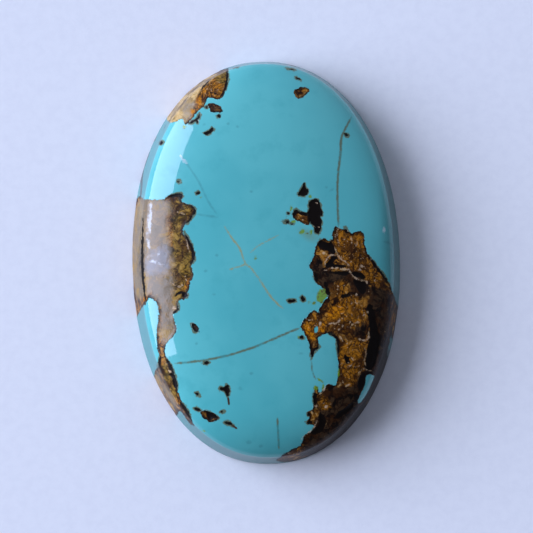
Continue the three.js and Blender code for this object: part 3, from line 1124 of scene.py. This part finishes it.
class StoneGraph(Graph):
    """The graph of the stone's material, with the noise and the masks that its layers share."""

    def __init__(self, tree: bpy.types.NodeTree) -> None:
        """Makes the shared noise.

        Patchy comes and goes about once in a millimetre. Clumps and grains are noise on a place
        that noise itself bends, and shade is their mean, with more of the grains. Specks are the
        finest noise.

        Args:
            tree: the material's node tree.
        """
        super().__init__(tree)
        self.area = marked_area_group()
        self.place = self.place_in_mm()
        self.axes = self.add("ShaderNodeSeparateXYZ", {0: self.place}).outputs
        self.patchy = self.ease(self.noise(self.place, 1.3, 3.0, 0.6), 0.36, 0.52)
        bend = self.noise(self.place, 0.9, 2.0, 0.5).node.outputs["Color"]
        self.bent = self.vector("MULTIPLY_ADD", {0: bend, 1: (1.4, 1.4, 1.4), 2: self.place})
        self.clumps = self.noise(self.bent, 0.9, 5.0, 0.65)
        self.grains = self.noise(self.bent, 3.4, 4.0, 0.7)
        self.specks = self.noise(self.place, 4.6, 3.0, 0.6)
        self.shade = self.line(self.grains, 0.62, self.times(self.clumps, 0.38))

    def masked(self, tone: Tone, cover: Cover) -> Socket:
        """The mask of one tone.

        Args:
            tone: the tone, whose mesh attribute holds the depth.
            cover: how its marks cover what lies under them.

        Returns:
            The cover's share inside the marks, and 0 outside them.
        """
        depth = self.math("ADD", self.attribute(tone.value), cover.grow)
        mask = self.add("ShaderNodeGroup", {}, node_tree=self.area)
        for name, value in (("Vector", self.place), ("Depth", depth)):
            self.tree.links.new(value, mask.inputs[name])
        for name, value in (("Wander", cover.wander), ("Softness", cover.softness),
                            ("Steps", cover.steps)):
            mask.inputs[name].default_value = value
        covered = mask.outputs["Mask"]
        return covered if cover.share == 1.0 else self.times(covered, cover.share)


@dataclass(frozen=True)
class Limonite:
    """The colour of the matrix, and the masks of its layers that other layers use."""

    colour: Socket
    dusky: Socket
    honeyed: Socket
    golden: Socket
    paler: Socket


@dataclass(frozen=True)
class TurquoiseFinish:
    """Polished turquoise with limonite matrix; the same stone is sawn matt on the back."""

    stone: Colour = (0.078, 0.428, 0.422)
    stone_pale: Colour = (0.103, 0.475, 0.458)
    stone_painted_light: Colour = (0.098, 0.500, 0.490)
    # painted light: the blue that the upper right of the dome is painted towards
    stone_deep: Colour = (0.053, 0.365, 0.362)
    ochre_steps: tuple[tuple[float, Colour], ...] = (
        (0.34, (0.006, 0.002, 0.001)),
        (0.42, (0.035, 0.012, 0.003)),
        (0.48, (0.142, 0.050, 0.006)),
        (0.54, (0.295, 0.112, 0.010)),
        (0.62, (0.440, 0.200, 0.027)),
        (0.74, (0.560, 0.380, 0.170)),
    )
    gold_dark: Colour = (0.055, 0.018, 0.002)
    gold: Colour = (0.520, 0.195, 0.008)
    umber: Colour = (0.052, 0.028, 0.012)
    amber: Colour = (0.580, 0.395, 0.165)
    pale: Colour = (0.215, 0.163, 0.098)
    veil: Colour = (0.240, 0.250, 0.280)
    # The white of the painted glints, which stand in for reflections.
    painted_glint: Colour = (0.700, 0.740, 0.760)
    halo: Colour = (0.150, 0.260, 0.150)
    olive_dark: Colour = (0.050, 0.030, 0.004)
    olive_gold: Colour = (0.310, 0.185, 0.028)
    orange: Colour = (0.560, 0.200, 0.003)
    rust: Colour = (0.200, 0.062, 0.003)
    cream: Colour = (0.600, 0.430, 0.270)
    black: Colour = (0.005, 0.003, 0.002)
    fleck: Colour = (0.014, 0.004, 0.001)
    olive: Colour = (0.110, 0.085, 0.010)
    green: Colour = (0.160, 0.300, 0.020)
    vein: Colour = (0.030, 0.095, 0.062)
    tan: Colour = (0.300, 0.290, 0.110)
    stain: Colour = (0.040, 0.200, 0.200)
    liver: Colour = (0.050, 0.016, 0.003)
    side: Colour = (0.045, 0.120, 0.122)
    cell_scale: float = 2.3      # blocks of limonite in a millimetre
    covers: Covers = Covers()

    def turquoise(self, graph: StoneGraph) -> Socket:
        """The blue of the stone: cloudy, with painted light on the right and painted shade, and veins.

        Args:
            graph: the material's graph.

        Returns:
            The colour.
        """
        place, x, y = graph.place, graph.axes["X"], graph.axes["Y"]
        clouds = graph.noise(place, 0.16, 3.0, 0.55)
        stone = graph.mix(graph.ease(clouds, 0.35, 0.65), self.stone, self.stone_pale)
        deep = graph.ease(graph.noise(place, 0.55, 4.0, 0.6), 0.5, 0.75)
        stone = graph.mix(graph.times(deep, 0.4), stone, self.stone_deep)
        # Painted light: the blue is painted lighter towards the upper right of the dome.
        painted_light = graph.times(graph.ease(x, 3.5, 7.5), graph.ease(y, -1.0, 3.0))
        stone = graph.mix(painted_light, stone, self.stone_painted_light)
        # Painted shade: the blue is darkened towards the stain colour at the near end and along the right
        # edge.
        shaded_right_edge = graph.times(graph.ease(x, 8.0, 9.2), 1.6)
        painted_shade = graph.larger(graph.ease(y, -10.5, -14.6), shaded_right_edge)
        stone = graph.mix(graph.times(painted_shade, 0.45), stone, self.stain)
        vein = graph.mix(graph.patchy, self.vein, self.olive)
        for tone, cover, share, tint in (
                (Tone.HALO, self.covers.halo, 0.6, self.halo),
                (Tone.STAIN, self.covers.stain, 0.4, self.stain),
                (Tone.VEIN, self.covers.vein, 0.8, vein),
                (Tone.TAN, self.covers.vein, 0.85, self.tan)):
            broken = graph.line(graph.patchy, 0.35 * share, 0.65 * share)
            stone = graph.mix(graph.times(graph.masked(tone, cover), broken), stone, tint)
        return stone

    def ochre(self, graph: StoneGraph, shade: Socket) -> Socket:
        """The ramp from nearly black through brown and gold to tan.

        Args:
            graph: the material's graph.
            shade: where on the ramp each point lies.

        Returns:
            The colour.
        """
        ramp = graph.add("ShaderNodeValToRGB", {0: shade})
        steps = ramp.color_ramp.elements
        while len(steps) < len(self.ochre_steps):
            steps.new(0.5)
        for step, (position, colour) in zip(steps, self.ochre_steps):
            step.position = position
            step.color = (*colour, 1.0)
        return ramp.outputs["Color"]

    def limonite(self, graph: StoneGraph) -> Limonite:
        """The matrix: blocks and grains on the ochre ramp, then a layer for each tone in it.

        Args:
            graph: the material's graph.

        Returns:
            Its colour, and the masks of four of its layers.
        """
        bent, clumps, grains, covers = graph.bent, graph.clumps, graph.grains, self.covers
        blocks = {"Vector": bent, "Scale": self.cell_scale}
        cells = graph.add("ShaderNodeTexVoronoi", blocks).outputs["Color"]
        lightness = graph.add("ShaderNodeSeparateColor", {0: cells}).outputs[0]
        gap = graph.add("ShaderNodeTexVoronoi", blocks, feature="DISTANCE_TO_EDGE").outputs[0]
        crevice = graph.times(graph.ease(gap, 0.12, 0.02), graph.ease(clumps, 0.64, 0.46))
        shade = graph.line(graph.math("SUBTRACT", lightness, 0.5), 0.26, graph.shade)
        colour = self.ochre(graph, shade)

        dark = graph.mix(graph.ease(shade, 0.42, 0.56), self.black, self.umber)
        dusky = graph.times(graph.masked(Tone.UMBER, covers.umber_ground), graph.ease(shade, 0.76, 0.68))
        colour = graph.mix(dusky, colour, dark)
        honeyed = graph.masked(Tone.AMBER, covers.amber)
        honey = graph.mix(graph.ease(graph.shade, 0.40, 0.54), self.olive_gold, self.amber)
        colour = graph.mix(honeyed, colour, honey)
        fibres = graph.noise(graph.vector("MULTIPLY", {0: bent, 1: (4.5, 1.4, 1.4)}), 1.0, 4.0, 0.7)
        fibrous = graph.mix(graph.ease(fibres, 0.40, 0.60), self.gold_dark, self.gold)
        golden = graph.masked(Tone.GOLD, covers.gold)
        colour = graph.mix(golden, colour, fibrous)
        mossy = graph.mix(graph.ease(graph.shade, 0.40, 0.58), self.olive_dark, self.olive_gold)
        colour = graph.mix(graph.masked(Tone.OLIVE, covers.olive), colour, mossy)
        paler = graph.masked(Tone.PALE, covers.pale)
        pale_ground = graph.mix(graph.ease(clumps, 0.46, 0.70), self.pale, self.olive_gold)
        colour = graph.mix(paler, colour, pale_ground)
        blotches = graph.ease(graph.noise(graph.place, 1.1, 3.0, 0.6), 0.53, 0.40)
        blotches = graph.times(blotches, graph.left_of(0.75, paler))
        colour = graph.mix(blotches, colour, self.liver)
        bright = graph.mix(graph.ease(grains, 0.38, 0.56), self.rust, self.orange)
        colour = graph.mix(graph.masked(Tone.ORANGE, covers.orange), colour, bright)

        clean = graph.larger(paler, graph.times(honeyed, 0.6))
        flecks = graph.larger(crevice, graph.ease(graph.specks, 0.60, 0.65))
        colour = graph.mix(graph.times(flecks, graph.left_of(0.78, clean)), colour, self.fleck)
        colour = graph.mix(graph.masked(Tone.VEIL, covers.veil), colour, self.veil)
        return Limonite(colour, dusky, honeyed, golden, paler)

    def build(self) -> bpy.types.Material:
        """Makes the material.

        Returns:
            The material, which reads the mesh attributes that the tones name, and "sawn".
        """
        material = bpy.data.materials.new("polished_turquoise")
        material.use_nodes = True
        material.node_tree.nodes.clear()
        graph = StoneGraph(material.node_tree)
        covers, grains, specks = self.covers, graph.grains, graph.specks
        limonite = self.limonite(graph)
        paler = limonite.paler

        # The limonite is darkest in a broken line just inside its edge.
        whole = graph.masked(Tone.MATRIX, covers.matrix)
        outside = graph.left_of(1.0, whole)
        core = graph.masked(Tone.MATRIX, covers.matrix_core)
        edge = graph.times(graph.left_of(1.0, core), graph.ease(grains, 0.34, 0.50))
        edge = graph.times(edge, graph.left_of(1.0, graph.larger(paler, limonite.honeyed)))
        ground = graph.mix(graph.times(edge, 0.85), limonite.colour, self.black)
        island = graph.masked(Tone.TURQUOISE, covers.island)
        matrix = graph.times(whole, graph.left_of(1.0, island))
        colour = graph.mix(matrix, self.turquoise(graph), ground)

        # Small marks, on the matrix or on the turquoise.
        fringe = graph.times(graph.masked(Tone.BLACK, covers.fringe), outside)
        colour = graph.mix(graph.times(fringe, 0.8), colour, self.olive)
        leaf = graph.mix(graph.ease(grains, 0.38, 0.50), self.olive, self.green)
        colour = graph.mix(graph.masked(Tone.GREEN, covers.green), colour, leaf)
        black = graph.masked(Tone.BLACK, covers.black)
        colour = graph.mix(black, colour, self.black)
        crumbs = graph.times(graph.masked(Tone.UMBER, covers.umber_crumb), outside)
        colour = graph.mix(crumbs, colour, self.umber)
        seams = graph.times(graph.masked(Tone.CREAM, covers.seam), graph.ease(specks, 0.32, 0.52))
        sparks = graph.times(graph.ease(specks, 0.38, 0.33), limonite.golden)
        seam_colour = graph.mix(graph.ease(grains, 0.36, 0.52), self.amber, self.cream)
        colour = graph.mix(graph.times(graph.larger(seams, sparks), 0.8), colour, seam_colour)
        # Painted glints, broken up by noise.
        painted_glints = graph.times(graph.masked(Tone.PAINTED_GLINT, covers.painted_glint), graph.line(graph.patchy, 0.5, 0.1))
        colour = graph.mix(painted_glints, colour, self.painted_glint)

        # The wall under the girdle is duller and darker than the dome.
        below = graph.ease(graph.axes["Z"], 3.35, 3.0)
        wall = graph.mix(matrix, self.side, graph.mix(limonite.dusky, ground, self.black))
        colour = graph.mix(graph.times(below, graph.line(black, -0.6, 0.6)), colour, wall)

        # The polish: best on turquoise, less on limonite the darker it is, and none on the back.
        matt = graph.larger(matrix, black)
        polish = graph.line(paler, 0.45, graph.line(matt, -0.73, 0.78))
        dull = graph.times(below, graph.line(matrix, 0.4, 0.6))
        polish = graph.times(polish, graph.left_of(1.0, dull))
        polish = graph.times(polish, graph.line(black, -0.95, 1.0))
        sawn = graph.attribute(SAWN)
        gloss = graph.times(graph.math("MINIMUM", polish, 0.78), graph.left_of(1.0, sawn))
        rough = graph.larger(0.35, graph.times(sawn, 0.85))
        height = graph.times(graph.times(graph.shade, 0.03), matrix)
        bump = {"Strength": 1.0, "Distance": MM, "Height": height}
        normal = graph.add("ShaderNodeBump", bump).outputs[0]
        surface = graph.add("ShaderNodeBsdfPrincipled", {
            "Base Color": colour, "Roughness": rough, "IOR": 1.5, "Specular IOR Level": 0.12,
            "Normal": normal, "Coat Weight": gloss, "Coat Roughness": 0.03, "Coat IOR": 1.6,
            "Coat Normal": normal})
        graph.add("ShaderNodeOutputMaterial", {"Surface": surface.outputs[0]})
        return material


@dataclass(frozen=True)
class PaperFinish:
    """Smooth pale paper with a faint grain."""

    paper: Colour = (0.830, 0.845, 0.850)
    grain: Colour = (0.800, 0.815, 0.825)
    grain_depth: float = 0.02    # millimetres

    def build(self) -> bpy.types.Material:
        """Makes the material.

        Returns:
            The material, which reads Object coordinates.
        """
        material = bpy.data.materials.new("pale_paper")
        material.use_nodes = True
        material.node_tree.nodes.clear()
        graph = Graph(material.node_tree)
        fibres = graph.noise(graph.place_in_mm(), 1.3, 4.0, 0.65)
        colour = graph.mix(graph.ease(fibres, 0.35, 0.7), self.paper, self.grain)
        bump = {"Strength": 0.6, "Distance": self.grain_depth * MM, "Height": fibres}
        surface = graph.add("ShaderNodeBsdfPrincipled", {
            "Base Color": colour, "Roughness": 0.85, "IOR": 1.3,
            "Normal": graph.add("ShaderNodeBump", bump).outputs[0]})
        graph.add("ShaderNodeOutputMaterial", {"Surface": surface.outputs[0]})
        return material


# ---------------------------------------------------------------------------------------------
# The setting: paper, light and camera
# ---------------------------------------------------------------------------------------------

@dataclass(frozen=True)
class Paper:
    """The sheet that the stone lies on."""

    side: float = 1.2
    drop: float = 0.00001       # how far it lies below the stone, in metres like its side

    def build(self) -> bpy.types.Object:
        """Makes the sheet, just under the stone's back.

        Returns:
            The sheet, linked to the scene.
        """
        half = self.side / 2
        corners = [(x * half, y * half, -self.drop) for x, y in ((-1, -1), (1, -1), (1, 1), (-1, 1))]
        mesh = bpy.data.meshes.new("paper_sheet")
        mesh.from_pydata(corners, [], [(0, 1, 2, 3)])
        mesh.materials.append(PaperFinish().build())
        sheet = bpy.data.objects.new("paper_sheet", mesh)
        bpy.context.scene.collection.objects.link(sheet)
        return sheet


@dataclass(frozen=True)
class LightPanel:
    """An upright bright rectangle. Its angles are in degrees, as the stone sees them.

    The bearing turns from -X towards +Y, and the panel stands square to it.
    """

    name: str
    bearing: float
    half_breadth: float
    lowest: float
    highest: float
    radiance: float
    top_share: float = 1.0      # how bright the top is beside the bottom
    distance: float = 0.8       # metres

    def build(self, tint: Colour) -> None:
        """Makes the area light; its power is radiance times pi times its area.

        Args:
            tint: the light's colour.
        """
        turn = math.radians(self.bearing)
        outward = Vector((-math.cos(turn), math.sin(turn), 0.0))
        low = self.distance * math.tan(math.radians(self.lowest))
        high = self.distance * math.tan(math.radians(self.highest))
        lamp = bpy.data.lights.new(self.name, "AREA")
        lamp.shape = "RECTANGLE"
        lamp.size = 2 * self.distance * math.tan(math.radians(self.half_breadth))
        lamp.size_y = high - low
        lamp.color = tint
        lamp.energy = self.radiance * math.pi * lamp.size * lamp.size_y
        lamp.use_nodes = True
        graph = Graph(lamp.node_tree)
        place = graph.add("ShaderNodeNewGeometry").outputs["Parametric"]
        upwards = graph.add("ShaderNodeSeparateXYZ", {0: place}).outputs["Y"]
        strength = graph.add("ShaderNodeMapRange", {0: upwards, 3: 1.0, 4: self.top_share}).outputs[0]
        emission = next(node for node in lamp.node_tree.nodes if node.type == "EMISSION")
        lamp.node_tree.links.new(strength, emission.inputs["Strength"])
        panel = bpy.data.objects.new(self.name, lamp)
        up = Vector((0.0, 0.0, 1.0))
        axes = Matrix((up.cross(outward), up, outward)).transposed().to_4x4()
        centre = outward * self.distance + up * (low + high) / 2
        panel.matrix_world = Matrix.Translation(centre) @ axes
        bpy.context.scene.collection.objects.link(panel)


@dataclass(frozen=True)
class StudioLight:
    """A tall soft window on the left, and faint light from all round, brighter from the far side."""

    tint: Colour = (0.68, 0.745, 1.0)
    near_side: float = 0.13     # brightness of the room on the near side and on the far side
    far_side: float = 0.62
    near_level: float = -0.3    # the parts of +Y in a direction between which it changes
    far_level: float = 0.9
    window: LightPanel = LightPanel("window", bearing=12.7, half_breadth=31.2, lowest=6.0,
                                    highest=55.0, radiance=8.2, top_share=0.8)

    def build(self) -> None:
        """Makes the window's panel and the world."""
        self.window.build(self.tint)
        world = bpy.data.worlds.new("room")
        world.use_nodes = True
        graph = Graph(world.node_tree)
        direction = graph.add("ShaderNodeTexCoord").outputs["Generated"]
        farther = graph.add("ShaderNodeSeparateXYZ", {0: direction}).outputs["Y"]
        strength = graph.add("ShaderNodeMapRange", {
            0: farther, 1: self.near_level, 2: self.far_level, 3: self.near_side, 4: self.far_side,
        }).outputs[0]
        background = world.node_tree.nodes["Background"]
        background.inputs["Color"].default_value = (*self.tint, 1.0)
        world.node_tree.links.new(strength, background.inputs["Strength"])
        bpy.context.scene.world = world


@dataclass(frozen=True)
class CameraStand:
    """A camera held over the stone, a little to its left and a little below its middle."""

    lean_left: float = 1.6       # degrees from upright towards -X
    lean_near: float = 2.8       # degrees from upright towards -Y
    roll: float = -1.35          # degrees
    distance: float = 0.150      # metres
    lens: float = 136.0          # millimetres, as the sensor
    sensor: float = 36.0
    aim_right: float = -0.022    # how far right and up the origin lies in the view, in millimetres
    aim_up: float = 0.335
    nearest: float = 0.01        # range of distances that the camera sees, in metres
    farthest: float = 10.0

    def build(self) -> None:
        """Makes the camera and makes it the scene's."""
        toward = Vector((-math.tan(math.radians(self.lean_left)),
                         -math.tan(math.radians(self.lean_near)), 1.0)).normalized()
        level = Vector((0.0, 1.0, 0.0)).cross(toward).normalized()
        upright = toward.cross(level)
        c, s = math.cos(math.radians(self.roll)), math.sin(math.radians(self.roll))
        right = level * c + upright * s
        up = upright * c - level * s
        place = toward * self.distance - (right * self.aim_right + up * self.aim_up) * MM
        data = bpy.data.cameras.new("camera")
        data.lens = self.lens
        data.sensor_width = self.sensor
        data.clip_start = self.nearest
        data.clip_end = self.farthest
        camera = bpy.data.objects.new("camera", data)
        axes = Matrix((right, up, toward)).transposed().to_4x4()
        camera.matrix_world = Matrix.Translation(place) @ axes
        bpy.context.scene.collection.objects.link(camera)
        bpy.context.scene.camera = camera


def main() -> None:
    """Builds the camera, the light, the paper and the stone, and reports the stone."""
    logging.basicConfig(level=logging.INFO, format="%(name)s: %(message)s")
    bpy.context.scene.view_settings.view_transform = "Standard"
    CameraStand().build()
    StudioLight().build()
    Paper().build()
    stone = Cabochon(StoneShape.from_frame(NODE), MARKS, TurquoiseFinish()).build()
    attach(stone, "root")
    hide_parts(NODE)
    log.info("%s: %d triangles", stone.name, len(stone.data.polygons))


if __name__ == "__main__":
    main()
